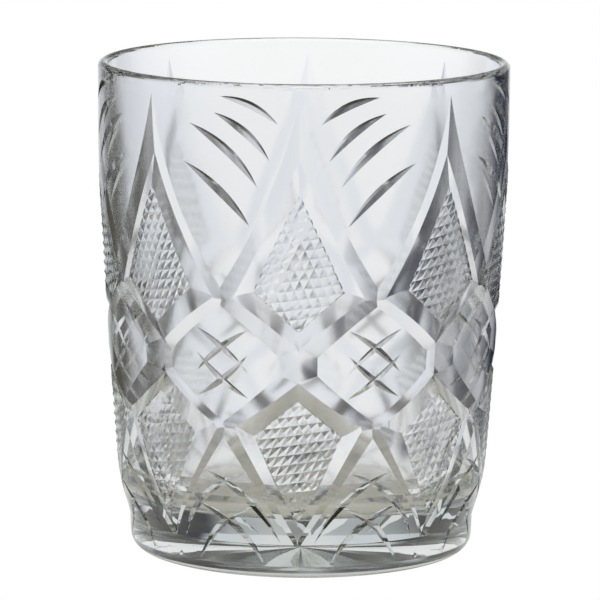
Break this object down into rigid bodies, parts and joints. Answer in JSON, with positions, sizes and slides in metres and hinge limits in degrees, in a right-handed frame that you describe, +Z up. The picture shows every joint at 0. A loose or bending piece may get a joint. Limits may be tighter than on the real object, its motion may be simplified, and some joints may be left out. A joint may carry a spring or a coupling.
{
  "type": "whisky tumbler",
  "caption": "Straight-sided whisky tumbler of clear pressed crystal with a heavy floor, wide mitre cuts round diamond and lozenge fields, and a star-cut foot.",
  "frame": {"origin": "middle of the foot, on the surface the glass stands on", "axes": "+Z up along the glass's axis, out of its mouth; -Y towards the front of the cut pattern, through the middle of a diamond"},
  "size_m": [0.08, 0.08, 0.096],
  "materials": {
    "clear_crystal": "clear fire-polished crystal with sharp polished cuts"
  },
  "bodies": {
    "root": {"tumbler": "clear_crystal"}
  },
  "joints": []
}
